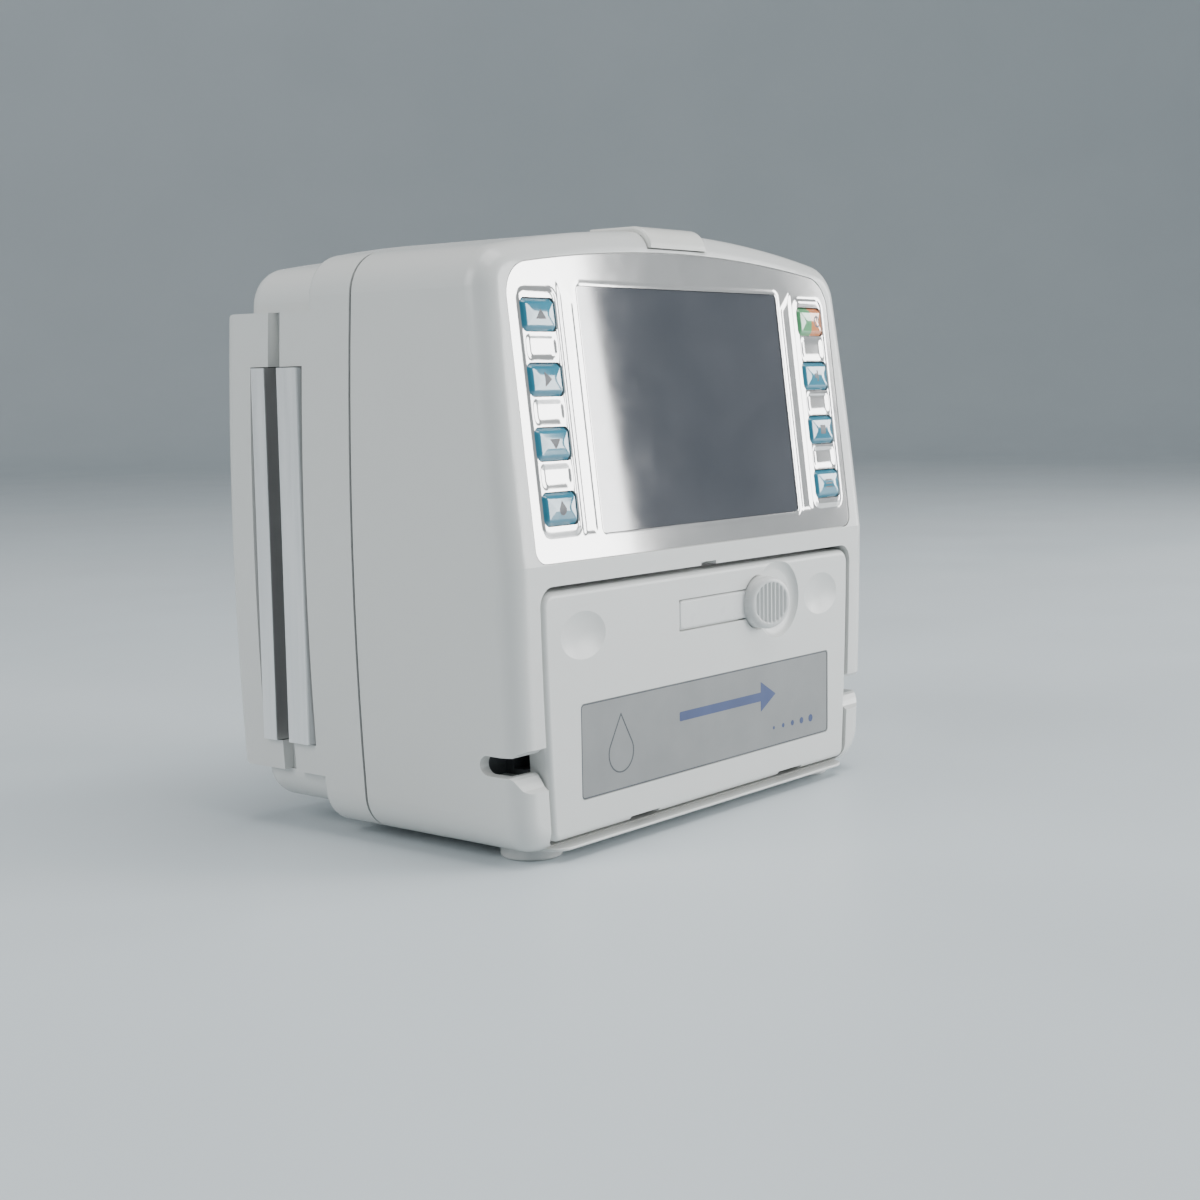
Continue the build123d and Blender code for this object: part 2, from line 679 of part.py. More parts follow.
def make_latch():
    blade = slab(rect(BLADE_X0, KNOB_X, LATCH_Z - BLADE_HALF, LATCH_Z + BLADE_HALF), 0.05, 1.05)
    blade = fillet_where(
        blade,
        1.0,
        lambda e: abs(e.center().X - BLADE_X0) < 0.01 and abs(e.tangent_at(0.5).Y) > 0.9,
    )
    knob = rod_y(KNOB_R, -KNOB_PROUD - 2, 1.05, KNOB_X, LATCH_Z)
    face = Pos(KNOB_X, -KNOB_MID, LATCH_Z) * Rot(0, 0, -KNOB_TILT)
    knob -= face * Pos(0, -10, 0) * Box(40, 20, 40)
    knob = fillet_where(knob, KNOB_EDGE_R, lambda e: e.geom_type == GeomType.ELLIPSE)
    stem = box(
        (KNOB_X - STEM_HALF, KNOB_X + STEM_HALF),
        (0.9, 2.5),
        (LATCH_Z - STEM_HALF, LATCH_Z + STEM_HALF),
    )
    save("latch_slider", blade + knob + stem)

    bar = box(
        (HOOK_X[0] - HOOK_W / 2, HOOK_X[1] + HOOK_W / 2),
        (2.5, 3.5),
        (LATCH_Z - 3.2, LATCH_Z + 3.2),
    )
    for x in HOOK_X:
        half = HOOK_T / 2
        bar += box((x - HOOK_W / 2, x + HOOK_W / 2), (3.4, 11.0), (LATCH_Z - half, LATCH_Z + half))
        bar += box((x - HOOK_W / 2 - HOOK_NOSE, x), (9.4, 11.0), (LATCH_Z - half, LATCH_Z + half))
    save("latch_bar", bar)


# ---- pump head and mechanism ------------------------------------------------------------------------------


def make_pump_head():
    head = slab(bulged(BAY_HALF - 0.3, BAY_Z[0] + 0.3, BAY_Z[1] - 0.3, 2.5, 3.9), *HEAD_Y)
    wings = box((-67.0, 67.0), (BAY_Y + 0.02, BAY_Y + 2.0), (14.2, 50.0)) & slab(
        case_section(WALL + 0.3),
        0,
        40,
    )
    head += box((-59.5, 59.5), (HEAD_Y[1] - 1, BAY_Y + 2.0), (14.2, 50.0)) + wings
    head -= rod_x(4.8, -80, 80, HINGE_Y, HINGE_Z)
    head -= box((-80, 80), (0, HINGE_Y + 4.8), (0, HINGE_Z))
    for x in HINGE_X:
        lug = rod_x(1.9, *lug_span(x), HINGE_Y, HINGE_Z)
        lug += box(lug_span(x), (HINGE_Y, HEAD_Y[1] - 2), (HINGE_Z - 0.9, HINGE_Z + 1.9))
        head += lug
        head -= rod_x(PIN_R + FIT, x - 10, x + 10, HINGE_Y, HINGE_Z)
    half = SLOT_HEIGHT / 2
    head -= box((-80, 80), (0, CHANNEL_Y), (TUBE_Z - half, TUBE_Z + half))
    head -= box((-16.6, 16.6), (0, 20), (TUBE_Z - FINGER_HALF - 0.5, TUBE_Z + FINGER_HALF + 0.5))
    head -= box(SENSOR_X_GAP, (HEAD_Y[0] - 1, 11.2), (TUBE_Z - 6.7, TUBE_Z + 6.7))
    head -= rod_y(3.0, 0, 20, OCCLUSION_X, TUBE_Z)
    for x in HOOK_X:
        head -= box(
            (x - HOOK_W / 2 - HOOK_NOSE - 0.4, x + HOOK_W / 2 + LATCH_TRAVEL + 0.6),
            (0, 20),
            (LATCH_Z - 2.0, LATCH_Z + 3.2),
        )
    for x, z in HEAD_SCREWS:
        head -= both_sides(rod_y(1.7, 10, 20, x, z))
    save("pump_head", head)

    sensor = box(SENSOR_X, (HEAD_Y[0], 11.1), (TUBE_Z - 6.6, TUBE_Z + 6.6))
    sensor -= box((-80, 0), (0, CHANNEL_Y), (TUBE_Z - half, TUBE_Z + half))
    save("air_bubble_sensor", sensor)
    button = rod_y(2.8, CHANNEL_Y, 16, OCCLUSION_X, TUBE_Z)
    button += rod_y(5.0, 14.3, 17, OCCLUSION_X, TUBE_Z)
    save("occlusion_sensor", button)

    screws = []
    for x, z in HEAD_SCREWS:
        for side in (-1, 1):
            screws.append(screw(1.2, 2.4, 1.6, side * x, z, 5.0, BAY_Y + 2.0))
    save("pump_head_screws", *screws)


def finger_phase(k):
    return 2 * math.pi * k / FINGERS


def finger_x(k):
    return (k - (FINGERS - 1) / 2) * FINGER_PITCH


def make_mechanism():
    side = box((FRAME_X, FRAME_X + FRAME_T), (14.05, FRAME_REAR_Y), (12.0, 34.0))
    foot = box((FRAME_X, FRAME_X + 4.0), (14.05, 15.5), (12.0, 34.0))
    frame = both_sides(side + foot)
    frame += box((-FRAME_X - 1, FRAME_X + 1), (FRAME_REAR_Y - 1.6, FRAME_REAR_Y), (13.0, 33.0))
    bore = rod_x(BEARING_R, -40, 40, CAM_Y, TUBE_Z)
    frame -= bore
    save("pump_frame", frame)
    for name, x in (("bearing_left", -FRAME_X - FRAME_T), ("bearing_right", FRAME_X)):
        ring = rod_x(BEARING_R, x - 0.6, x + 2.6, CAM_Y, TUBE_Z) - rod_x(
            SHAFT_R + FIT,
            x - 5,
            x + 5,
            CAM_Y,
            TUBE_Z,
        )
        save(name, ring)

    shaft = rod_x(SHAFT_R, -22.5, PULLEY_X[1], CAM_Y, TUBE_Z)
    for k in range(FINGERS):
        turn = finger_phase(k)
        y = CAM_Y - CAM_THROW * math.cos(turn)
        z = TUBE_Z + CAM_THROW * math.sin(turn)
        shaft += rod_x(CAM_R, finger_x(k) - 1.5, finger_x(k) + 1.5, y, z)
    save("camshaft", shaft)

    half_y = CAM_R + 2 * CAM_THROW + 0.15
    half_z = CAM_R + CAM_THROW + 0.15
    for k in range(FINGERS):
        shift = -CAM_THROW * math.cos(finger_phase(k))
        x = (finger_x(k) - FINGER_T / 2, finger_x(k) + FINGER_T / 2)
        y = CAM_Y + shift
        yoke = box(
            x,
            (y - half_y - YOKE_BAR, y + half_y + YOKE_BAR),
            (TUBE_Z - half_z - YOKE_BAR, TUBE_Z + half_z + YOKE_BAR),
        )
        yoke -= box(x, (y - half_y, y + half_y), (TUBE_Z - half_z, TUBE_Z + half_z))
        stem = box(
            x,
            (FINGER_MID_TIP_Y + shift, y - half_y),
            (TUBE_Z - FINGER_HALF, TUBE_Z + FINGER_HALF),
        )
        save(f"pump_finger_{k + 1}", yoke + stem)


def make_drive():
    big = rod_x(CAM_PULLEY_R, *PULLEY_X, CAM_Y, TUBE_Z)
    for x in (PULLEY_X[0], PULLEY_X[1] - 0.8):
        big += rod_x(CAM_PULLEY_R + 1.8, x, x + 0.8, CAM_Y, TUBE_Z)
    big -= rod_x(SHAFT_R, 20, 30, CAM_Y, TUBE_Z)
    save("cam_pulley", big)
    small = rod_x(MOTOR_PULLEY_R, *PULLEY_X, MOTOR_Y, MOTOR_Z)
    for x in (PULLEY_X[0], PULLEY_X[1] - 0.8):
        small += rod_x(MOTOR_PULLEY_R + 1.8, x, x + 0.8, MOTOR_Y, MOTOR_Z)
    small -= rod_x(2.0, 20, 30, MOTOR_Y, MOTOR_Z)
    save("motor_pulley", small)

    width = (PULLEY_X[0] + 1.0, PULLEY_X[1] - 1.0)
    outer = belt_loop(BELT_T + 0.15, width)
    save("drive_belt", outer - belt_loop(0.15, (width[0] - 1, width[1] + 1)))

    shaft = rod_x(2.0, PULLEY_X[0] - 0.4, 45.0, MOTOR_Y, MOTOR_Z)
    save("motor_shaft", shaft)
    motor = box(
        MOTOR_X,
        (MOTOR_Y - MOTOR_HALF, MOTOR_Y + MOTOR_HALF),
        (MOTOR_Z - MOTOR_HALF, MOTOR_Z + MOTOR_HALF),
    )
    motor = chamfer([e for e in motor.edges() if abs(e.tangent_at(0.5).X) > 0.9], 2.5)
    motor -= rod_x(2.0 + FIT, MOTOR_X[0] - 1, 45.2, MOTOR_Y, MOTOR_Z)
    save("stepper_motor", motor)
    plate = box(
        (MOTOR_X[0] - BRACKET_T, MOTOR_X[0]),
        (14.05, MOTOR_Y + MOTOR_HALF),
        (15.0, MOTOR_Z + MOTOR_HALF),
    )
    plate += box((MOTOR_X[0] - BRACKET_T, MOTOR_X[0] + 6), (14.05, 15.5), (15.0, 47.0))
    plate -= rod_x(5.0, 20, 40, MOTOR_Y, MOTOR_Z)
    save("motor_bracket", plate)


def belt_loop(grow, x):
    """A solid that wraps both pulleys, standing off their rims by the given amount."""
    circles = [
        Pos(CAM_Y, TUBE_Z) * Circle(CAM_PULLEY_R + grow),
        Pos(MOTOR_Y, MOTOR_Z) * Circle(MOTOR_PULLEY_R + grow),
    ]
    face = make_hull([edge for circle in circles for edge in circle.edges()])
    return extrude(Plane.YZ.offset(x[0]) * face, x[1] - x[0], dir=(1, 0, 0))


# ---- electrics --------------------------------------------------------------------------------------------
def make_electrics():
    cells = box((-50, 22), (66.0, 85.0), (79.0, 116.5))
    cells = fillet([e for e in cells.edges() if abs(e.tangent_at(0.5).X) > 0.9], 8.0)
    save("battery_pack", cells)

    supply = box((-52, 8), (82.0, 83.6), (19.0, 74.0))
    supply += box((-46, -22), (68.0, 82.1), (26.0, 50.0))
    supply += rod_y(6.0, 70.0, 82.1, -10.0, 40.0)
    supply += rod_y(4.0, 74.0, 82.1, -10.0, 60.0)
    supply += box((-46, -26), (76.0, 82.1), (56.0, 70.0))
    save("power_supply", supply)

    inlet = box(
        (INLET_X[0] + 0.2, INLET_X[1] - 0.2),
        (68.0, REAR_Y - 0.2),
        (INLET_Z[0] + 0.2, INLET_Z[1] - 0.2),
    )
    middle = ((INLET_X[0] + INLET_X[1]) / 2, (INLET_Z[0] + INLET_Z[1]) / 2)
    mouth = rect(middle[0] - 12.0, middle[0] + 12.0, middle[1] - 8.2, middle[1] + 8.2)
    mouth = chamfer([v for v in mouth.vertices() if v.Y > middle[1]], 4.5)
    inlet -= slab(mouth, REAR_Y - 15.5, REAR_Y + 1)
    for dx, dz in ((-7, -2), (0, 2), (7, -2)):
        inlet += box(
            (middle[0] + dx - 1, middle[0] + dx + 1),
            (REAR_Y - 16, REAR_Y - 5),
            (middle[1] + dz - 2, middle[1] + dz + 2),
        )
    save("power_inlet", inlet)

    cone = rod_y(14.0, 84.0, 86.5, SPEAKER_X, SPEAKER_Z) + rod_y(8.0, 79.5, 84.1, SPEAKER_X, SPEAKER_Z)
    save("speaker", cone)

    screws = [screw(1.45, 2.9, 2.2, x, z, SEAM_Y - 13, SEAM_Y + SEAM_GAP / 2 + 6.05) for x in CASE_SCREW_X for z in CASE_SCREW_Z]
    save("casing_screws", *screws)


make_front_shell()
make_rear_shell()
make_rails()
make_feet()
make_front_panel()
make_alarm_light()
make_door()
make_latch()
make_pump_head()
make_mechanism()
make_drive()
make_electrics()
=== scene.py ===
"""The looks of the infusion pump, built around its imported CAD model."""
import json
import math

import bpy
from mathutils import Matrix, Vector


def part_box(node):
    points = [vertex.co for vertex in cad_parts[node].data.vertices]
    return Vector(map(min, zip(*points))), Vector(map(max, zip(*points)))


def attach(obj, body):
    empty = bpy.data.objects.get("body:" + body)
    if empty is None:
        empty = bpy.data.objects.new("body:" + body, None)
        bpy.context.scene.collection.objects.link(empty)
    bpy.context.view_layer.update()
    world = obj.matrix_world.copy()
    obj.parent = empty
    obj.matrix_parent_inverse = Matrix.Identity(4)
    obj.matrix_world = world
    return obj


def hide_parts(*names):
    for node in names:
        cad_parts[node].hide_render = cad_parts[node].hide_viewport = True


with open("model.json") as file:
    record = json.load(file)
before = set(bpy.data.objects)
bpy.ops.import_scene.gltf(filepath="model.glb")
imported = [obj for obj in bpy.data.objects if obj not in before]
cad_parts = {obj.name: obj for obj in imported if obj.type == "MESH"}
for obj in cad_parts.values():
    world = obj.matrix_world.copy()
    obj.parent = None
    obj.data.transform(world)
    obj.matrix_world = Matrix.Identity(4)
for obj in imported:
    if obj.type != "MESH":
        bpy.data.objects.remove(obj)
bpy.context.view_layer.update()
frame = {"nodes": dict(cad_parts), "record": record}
nodes = frame["nodes"]

MM = 0.001
LEAN = math.radians(7.2)        # the display panel leans back
CREASE_Z = 65.0                 # and starts at this height
DOOR_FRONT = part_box("door_panel")[0].y / MM


# ---- local frames: (u, v, n) in millimetres, n out of the surface -------------------------------------
class Face:
    def __init__(self, origin, v_axis, n_axis):
        self.origin = Vector(origin)
        self.u = Vector((1, 0, 0))
        self.v = Vector(v_axis)
        self.n = Vector(n_axis)

    def world(self, u, v, n):
        return (self.origin + self.u * u + self.v * v + self.n * n) * MM

    def span(self, node):
        """Lowest and highest (u, v, n) of a CAD node."""
        places = [Vector(p.co) / MM - self.origin for p in nodes[node].data.vertices]
        local = [(p.dot(self.u), p.dot(self.v), p.dot(self.n)) for p in places]
        return tuple(map(min, zip(*local))), tuple(map(max, zip(*local)))


PANEL = Face(
    (0, DOOR_FRONT, CREASE_Z),
    (0, math.sin(LEAN), math.cos(LEAN)),
    (0, -math.cos(LEAN), math.sin(LEAN)),
)
DOOR = Face((0, DOOR_FRONT, 0), (0, 0, 1), (0, -1, 0))


# ---- outlines as signed distances, negative inside ----------------------------------------------------
def round_box(u, v, cu, cv, hu, hv, r):
    """A box of half sizes hu and hv about (cu, cv), with corners of radius r."""
    a = abs(u - cu) - hu + r
    b = abs(v - cv) - hv + r
    return math.hypot(max(a, 0), max(b, 0)) + min(max(a, b), 0) - r


def disc(u, v, cu, cv, r):
    return math.hypot(u - cu, v - cv) - r


def segment(u, v, a, b, half):
    """A stroke from point a to point b, with round ends and the given half width."""
    du, dv = b[0] - a[0], b[1] - a[1]
    t = ((u - a[0]) * du + (v - a[1]) * dv) / (du * du + dv * dv)
    t = min(max(t, 0), 1)
    return math.hypot(u - a[0] - t * du, v - a[1] - t * dv) - half


def smooth(t):
    """0 up to t = 0, 1 from t = 1, and a soft step between."""
    t = min(max(t, 0.0), 1.0)
    return t * t * (3 - 2 * t)


# ---- mesh code ----------------------------------------------------------------------------------------
def link_mesh(name, points, faces, material):
    mesh = bpy.data.meshes.new(name)
    mesh.from_pydata(points, [], faces)
    mesh.materials.append(material)
    obj = bpy.data.objects.new(name, mesh)
    bpy.context.scene.collection.objects.link(obj)
    return obj


def add_object(name, points, faces, body, material, sharp=35):
    """A smooth-shaded piece that rides on a body; edges over sharp degrees stay sharp."""
    obj = link_mesh(name, points, faces, material)
    obj.data.validate()
    obj.data.shade_smooth()
    obj.data.set_sharp_from_angle(angle=math.radians(sharp))
    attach(obj, body)
    return obj


def film(face, low, high, step, inside, top, bottom):
    """A closed sheet over the region where inside(u, v) is negative, between two heights."""
    nu = math.ceil((high[0] - low[0]) / step)
    nv = math.ceil((high[1] - low[1]) / step)
    us = [low[0] + i * step for i in range(nu + 1)]
    vs = [low[1] + j * step for j in range(nv + 1)]
    dist = [[inside(u, v) for v in vs] for u in us]
    flat, index, cells = [], {}, []

    def point(key, u, v):
        if key not in index:
            index[key] = len(flat)
            flat.append((u, v))
        return index[key]

    def crossing(i, j, k, l):
        """The point where the outline crosses the grid edge from (i, j) to (k, l)."""
        key = ((i, j), (k, l)) if (i, j) < (k, l) else ((k, l), (i, j))
        (i, j), (k, l) = key
        t = dist[i][j] / (dist[i][j] - dist[k][l])
        return point(key, us[i] + t * (us[k] - us[i]), vs[j] + t * (vs[l] - vs[j]))

    for i in range(nu):
        for j in range(nv):
            corners = ((i, j), (i + 1, j), (i + 1, j + 1), (i, j + 1))
            if all(dist[a][b] >= 0 for a, b in corners):
                continue
            ring = []
            for (a, b), (c, d) in zip(corners, corners[1:] + corners[:1]):
                if dist[a][b] < 0:
                    ring.append(point((a, b), us[a], vs[b]))
                if (dist[a][b] < 0) != (dist[c][d] < 0):
                    ring.append(crossing(a, b, c, d))
            if len(set(ring)) > 2:
                cells.append(ring)
    count = len(flat)
    points = [face.world(u, v, top(u, v)) for u, v in flat]
    points += [face.world(u, v, bottom(u, v)) for u, v in flat]
    edges = {}
    for ring in cells:
        for edge in zip(ring, ring[1:] + ring[:1]):
            edges[edge] = True
    faces = [tuple(ring) for ring in cells]
    faces += [tuple(count + k for k in reversed(ring)) for ring in cells]
    faces += [(b, a, a + count, b + count) for a, b in edges if (b, a) not in edges]
    return points, faces


# ---- materials ----------------------------------------------------------------------------------------
def procedural(
    name, first, second, rough, mottling=90.0, grain=2600.0, bump=0.05, metallic=0.0, coat=0.0, stretch=(1, 1, 1)
):
    """A material whose colour, gloss and fine relief all vary; stretch draws the pattern out."""
    mat = bpy.data.materials.new(name)
    mat.use_nodes = True
    tree = mat.node_tree
    shader = tree.nodes["Principled BSDF"]
    shader.inputs["Metallic"].default_value = metallic
    shader.inputs["Coat Weight"].default_value = coat
    shader.inputs["Coat Roughness"].default_value = 0.04
    coords = tree.nodes.new("ShaderNodeTexCoord")
    mapping = tree.nodes.new("ShaderNodeMapping")
    mapping.inputs["Scale"].default_value = stretch
    tree.links.new(coords.outputs["Object"], mapping.inputs["Vector"])

    def noise(scale, detail):
        node = tree.nodes.new("ShaderNodeTexNoise")
        node.inputs["Scale"].default_value = scale
        node.inputs["Detail"].default_value = detail
        tree.links.new(mapping.outputs["Vector"], node.inputs["Vector"])
        return node.outputs["Fac"]

    ramp = tree.nodes.new("ShaderNodeValToRGB")
    dark, light = ramp.color_ramp.elements
    dark.position, light.position = 0.35, 0.65
    dark.color, light.color = (*first, 1), (*second, 1)
    tree.links.new(noise(mottling, 4), ramp.inputs["Fac"])
    tree.links.new(ramp.outputs["Color"], shader.inputs["Base Color"])
    gloss = tree.nodes.new("ShaderNodeMapRange")
    gloss.inputs["From Min"].default_value = 0.3
    gloss.inputs["From Max"].default_value = 0.7
    gloss.inputs["To Min"].default_value = rough[0]
    gloss.inputs["To Max"].default_value = rough[1]
    tree.links.new(noise(mottling * 2.3, 5), gloss.inputs["Value"])
    tree.links.new(gloss.outputs["Result"], shader.inputs["Roughness"])
    relief = tree.nodes.new("ShaderNodeBump")
    relief.inputs["Strength"].default_value = bump
    relief.inputs["Distance"].default_value = 0.0002
    tree.links.new(noise(grain, 3), relief.inputs["Height"])
    tree.links.new(relief.outputs["Normal"], shader.inputs["Normal"])
    return mat


def paint_shade_inside(mat, level, inner, outer):
    """Paint shade into a material: scale its colour down to level where |x| is under inner, full from outer
    outwards.
    """
    tree = mat.node_tree
    shader = tree.nodes["Principled BSDF"]
    plain = shader.inputs["Base Color"].links[0].from_socket
    coords = tree.nodes.new("ShaderNodeTexCoord")
    split = tree.nodes.new("ShaderNodeSeparateXYZ")
    tree.links.new(coords.outputs["Object"], split.inputs["Vector"])
    side = tree.nodes.new("ShaderNodeMath")
    side.operation = "ABSOLUTE"
    tree.links.new(split.outputs["X"], side.inputs[0])
    ramp = tree.nodes.new("ShaderNodeMapRange")
    ramp.inputs["From Min"].default_value = inner
    ramp.inputs["From Max"].default_value = outer
    ramp.inputs["To Min"].default_value = level
    ramp.inputs["To Max"].default_value = 1.0
    tree.links.new(side.outputs[0], ramp.inputs["Value"])
    scaled = tree.nodes.new("ShaderNodeVectorMath")
    scaled.operation = "SCALE"
    tree.links.new(plain, scaled.inputs[0])
    tree.links.new(ramp.outputs["Result"], scaled.inputs["Scale"])
    tree.links.new(scaled.outputs["Vector"], shader.inputs["Base Color"])


# name: darker colour, lighter colour, lowest and highest roughness, other settings
FINISHES = {
    "case_plastic": ((0.640, 0.650, 0.632), (0.650, 0.658, 0.642), (0.24, 0.26), {"mottling": 24}),
    "door_plastic": ((0.645, 0.655, 0.638), (0.655, 0.665, 0.648), (0.30, 0.33), {"mottling": 24, "bump": 0.07}),
    "latch_plastic": ((0.66, 0.67, 0.66), (0.68, 0.69, 0.68), (0.26, 0.32), {}),
    "seal_rubber": ((0.03, 0.03, 0.032), (0.05, 0.05, 0.052), (0.6, 0.8), {"bump": 0.2}),
    "rail_metal": (
        (0.86, 0.87, 0.87),
        (0.92, 0.92, 0.92),
        (0.40, 0.52),
        {"mottling": 700, "grain": 3500, "bump": 0.15, "metallic": 1.0, "stretch": (1, 1, 0.03)},
    ),
    "foot_rubber": ((0.50, 0.51, 0.50), (0.56, 0.57, 0.56), (0.5, 0.7), {"bump": 0.2}),
    "overlay_film": (
        (0.56, 0.555, 0.545),
        (0.575, 0.57, 0.56),
        (0.07, 0.09),
        {"bump": 0.006, "metallic": 0.6, "coat": 1.0},
    ),
    "window_film": (
        (0.045, 0.047, 0.058),
        (0.058, 0.060, 0.072),
        (0.03, 0.07),
        {"mottling": 60, "bump": 0.003, "coat": 1.0},
    ),
    "lens_plastic": ((0.74, 0.74, 0.70), (0.78, 0.78, 0.74), (0.15, 0.22), {"bump": 0.02, "coat": 0.4}),
    "label_film": ((0.20, 0.21, 0.212), (0.22, 0.23, 0.232), (0.38, 0.5), {"bump": 0.06}),
    "key_teal": ((0.025, 0.20, 0.30), (0.04, 0.25, 0.36), (0.06, 0.10), {"bump": 0.01, "coat": 1.0}),
    "key_green": ((0.10, 0.38, 0.16), (0.14, 0.44, 0.20), (0.08, 0.14), {"bump": 0.01, "coat": 1.0}),
    "key_orange": ((0.70, 0.22, 0.08), (0.76, 0.27, 0.10), (0.08, 0.14), {"bump": 0.01, "coat": 1.0}),
    # The grey ink also colours the painted shadow ring round the label.
    "ink_and_shade_grey": ((0.03, 0.04, 0.05), (0.045, 0.055, 0.065), (0.4, 0.5), {"bump": 0.02}),
    "ink_blue": ((0.006, 0.03, 0.13), (0.01, 0.04, 0.16), (0.4, 0.5), {"bump": 0.02}),
    "steel": ((0.50, 0.51, 0.52), (0.58, 0.59, 0.60), (0.25, 0.38), {"mottling": 300, "metallic": 1.0}),
    "head_plastic": ((0.06, 0.065, 0.07), (0.08, 0.085, 0.09), (0.35, 0.5), {"bump": 0.15}),
    "finger_plastic": ((0.70, 0.70, 0.66), (0.74, 0.74, 0.70), (0.3, 0.4), {}),
    "board_green": ((0.01, 0.07, 0.03), (0.02, 0.10, 0.045), (0.3, 0.45), {}),
    "black_plastic": ((0.012, 0.012, 0.013), (0.02, 0.02, 0.021), (0.3, 0.42), {"bump": 0.12}),
    "black_metal": ((0.02, 0.02, 0.022), (0.035, 0.035, 0.037), (0.35, 0.5), {"bump": 0.1, "metallic": 0.4}),
    "alloy": ((0.55, 0.56, 0.57), (0.62, 0.63, 0.64), (0.3, 0.45), {"bump": 0.06, "metallic": 1.0}),
    "battery_wrap": ((0.02, 0.06, 0.22), (0.03, 0.08, 0.26), (0.15, 0.25), {"bump": 0.02, "coat": 0.5}),
}
looks = {
    name: procedural(name, first, second, rough, **more)
    for name, (first, second, rough, more) in FINISHES.items()
}
# Painted shade: the rails' colour is scaled darker below their lips and in their slots, standing in for the
# shadow there.
SLOT_PAINTED_SHADE_LEVEL = 0.60               # how bright the rails stay below their lips
SLOT_INNER_X, SLOT_OUTER_X = 0.0705, 0.0709     # between these the brightness rises to full
paint_shade_inside(looks["rail_metal"], SLOT_PAINTED_SHADE_LEVEL, SLOT_INNER_X, SLOT_OUTER_X)
WINDOW_IOR = 1.9
for gloss_input in ("IOR", "Coat IOR"):
    looks["window_film"].node_tree.nodes["Principled BSDF"].inputs[gloss_input].default_value = WINDOW_IOR

# The material slots whose finish has another name than the slot.
SLOT_FINISHES = {
    "window": "window_film",
    "display": "black_plastic",
    "key_film": "key_teal",
    "lens": "lens_plastic",
    "board": "board_green",
    "label": "label_film",
    "belt_rubber": "seal_rubber",
    "motor_metal": "black_metal",
    "plate_metal": "alloy",
    "inlet_plastic": "black_plastic",
}
for part in frame["record"]["subparts"]:
    slot = part["material_slot"]
    finish = "door_plastic" if part["node"] == "door_panel" else SLOT_FINISHES.get(slot, slot)
    materials = nodes[part["node"]].data.materials
    materials.clear()
    materials.append(looks[finish])


# ---- membrane overlay, with its embossing ---------------------------------------------------------------
(_, over_low, film_bottom), (over_half, over_top, film_top) = PANEL.span("membrane_overlay")
(_, win_low, _), (win_half, win_high, _) = PANEL.span("display_window")
win_mid, win_half_v = (win_low + win_high) / 2, (win_high - win_low) / 2
keys = {name: PANEL.span(name) for name in nodes if name.startswith(("key_left", "key_right"))}
KEY_HALF = (5.6, 3.5)
KEY_R = 1.3


def key_centre(name):
    low, high = keys[name]
    return (low[0] + high[0]) / 2, (low[1] + high[1]) / 2


centres = [key_centre(name) for name in sorted(keys)]
column_u = max(u for u, _ in centres)
column_v = sorted({round(v, 2) for u, v in centres if u > 0})
column_mid = (column_v[0] + column_v[-1]) / 2
ARC_R = 420.0                   # the overlay's arched top edge
TOP_R, LOW_R = 8, 3             # its upper and lower corners
WINDOW_GAP, KEY_GAP = 0.1, 0.2
WINDOW_HOLE_R = 1.1
KEY_REACH = 8                   # a key's hole can't matter further sideways than this


def overlay_outline(u, v):
    a = abs(u)
    arc_v = over_top - ARC_R
    corner_u = over_half - TOP_R
    corner_v = arc_v + math.sqrt((ARC_R - TOP_R) ** 2 - corner_u ** 2)
    if v > corner_v and a / (v - arc_v) > corner_u / (corner_v - arc_v):
        return disc(a, v, corner_u, corner_v, TOP_R)
    if a > over_half - LOW_R and v < over_low + LOW_R:
        return disc(a, v, over_half - LOW_R, over_low + LOW_R, LOW_R)
    return max(a - over_half, over_low - v, disc(a, v, 0, arc_v, ARC_R))


def overlay_inside(u, v):
    holes = [round_box(u, v, 0, win_mid, win_half + WINDOW_GAP, win_half_v + WINDOW_GAP, WINDOW_HOLE_R)]
    holes += [
        round_box(u, v, cu, cv, KEY_HALF[0] + KEY_GAP, KEY_HALF[1] + KEY_GAP, KEY_R + KEY_GAP)
        for cu, cv in centres
        if abs(u - cu) < KEY_REACH
    ]
    return max(overlay_outline(u, v), -min(holes))


BAND_HALF, BAND_PAST, BAND_R, BAND_RISE = 6.9, 6.4, 3.0, 0.30       # the raised band round each column of keys
PAD_HALF, PAD_R, PAD_DROP = (4.9, 2.6), 1.6, 0.30                   # the dished pads between the keys
GROOVE_U, GROOVE_HALF, GROOVE_LOW, GROOVE_DROP = 43.2, 2.6, 5.5, 0.22
GROOVE_TOP_U, GROOVE_TOP_V, GROOVE_SLANT = 46.2, 61.5, 0.9          # the groove's slanted top
BORDER_AT, BORDER_HALF, BORDER_RISE = 0.6, 0.6, 0.08                # the ridge round the window


def emboss(u, v):
    """Height of the overlay's front: bands, pads, grooves and the window's border."""
    a = abs(u)
    band = -round_box(a, v, column_u, column_mid, BAND_HALF, column_mid - column_v[0] + BAND_PAST, BAND_R)
    height = BAND_RISE * smooth(band / 1.6)
    for low, high in zip(column_v, column_v[1:]):
        pad = -round_box(a, v, column_u, (low + high) / 2, *PAD_HALF, PAD_R)
        height -= PAD_DROP * smooth((pad + 0.5) / 1.9)
    top = GROOVE_TOP_V - (GROOVE_TOP_U - a) * GROOVE_SLANT
    groove = -max(abs(a - GROOVE_U) - GROOVE_HALF, GROOVE_LOW - v, (v - top) * 0.75)
    height -= GROOVE_DROP * smooth(groove / 1.1)
    border = round_box(u, v, 0, win_mid, win_half, win_half_v, 1)
    height += BORDER_RISE * smooth(1 - abs(border - BORDER_AT) / BORDER_HALF)
    return film_top + height


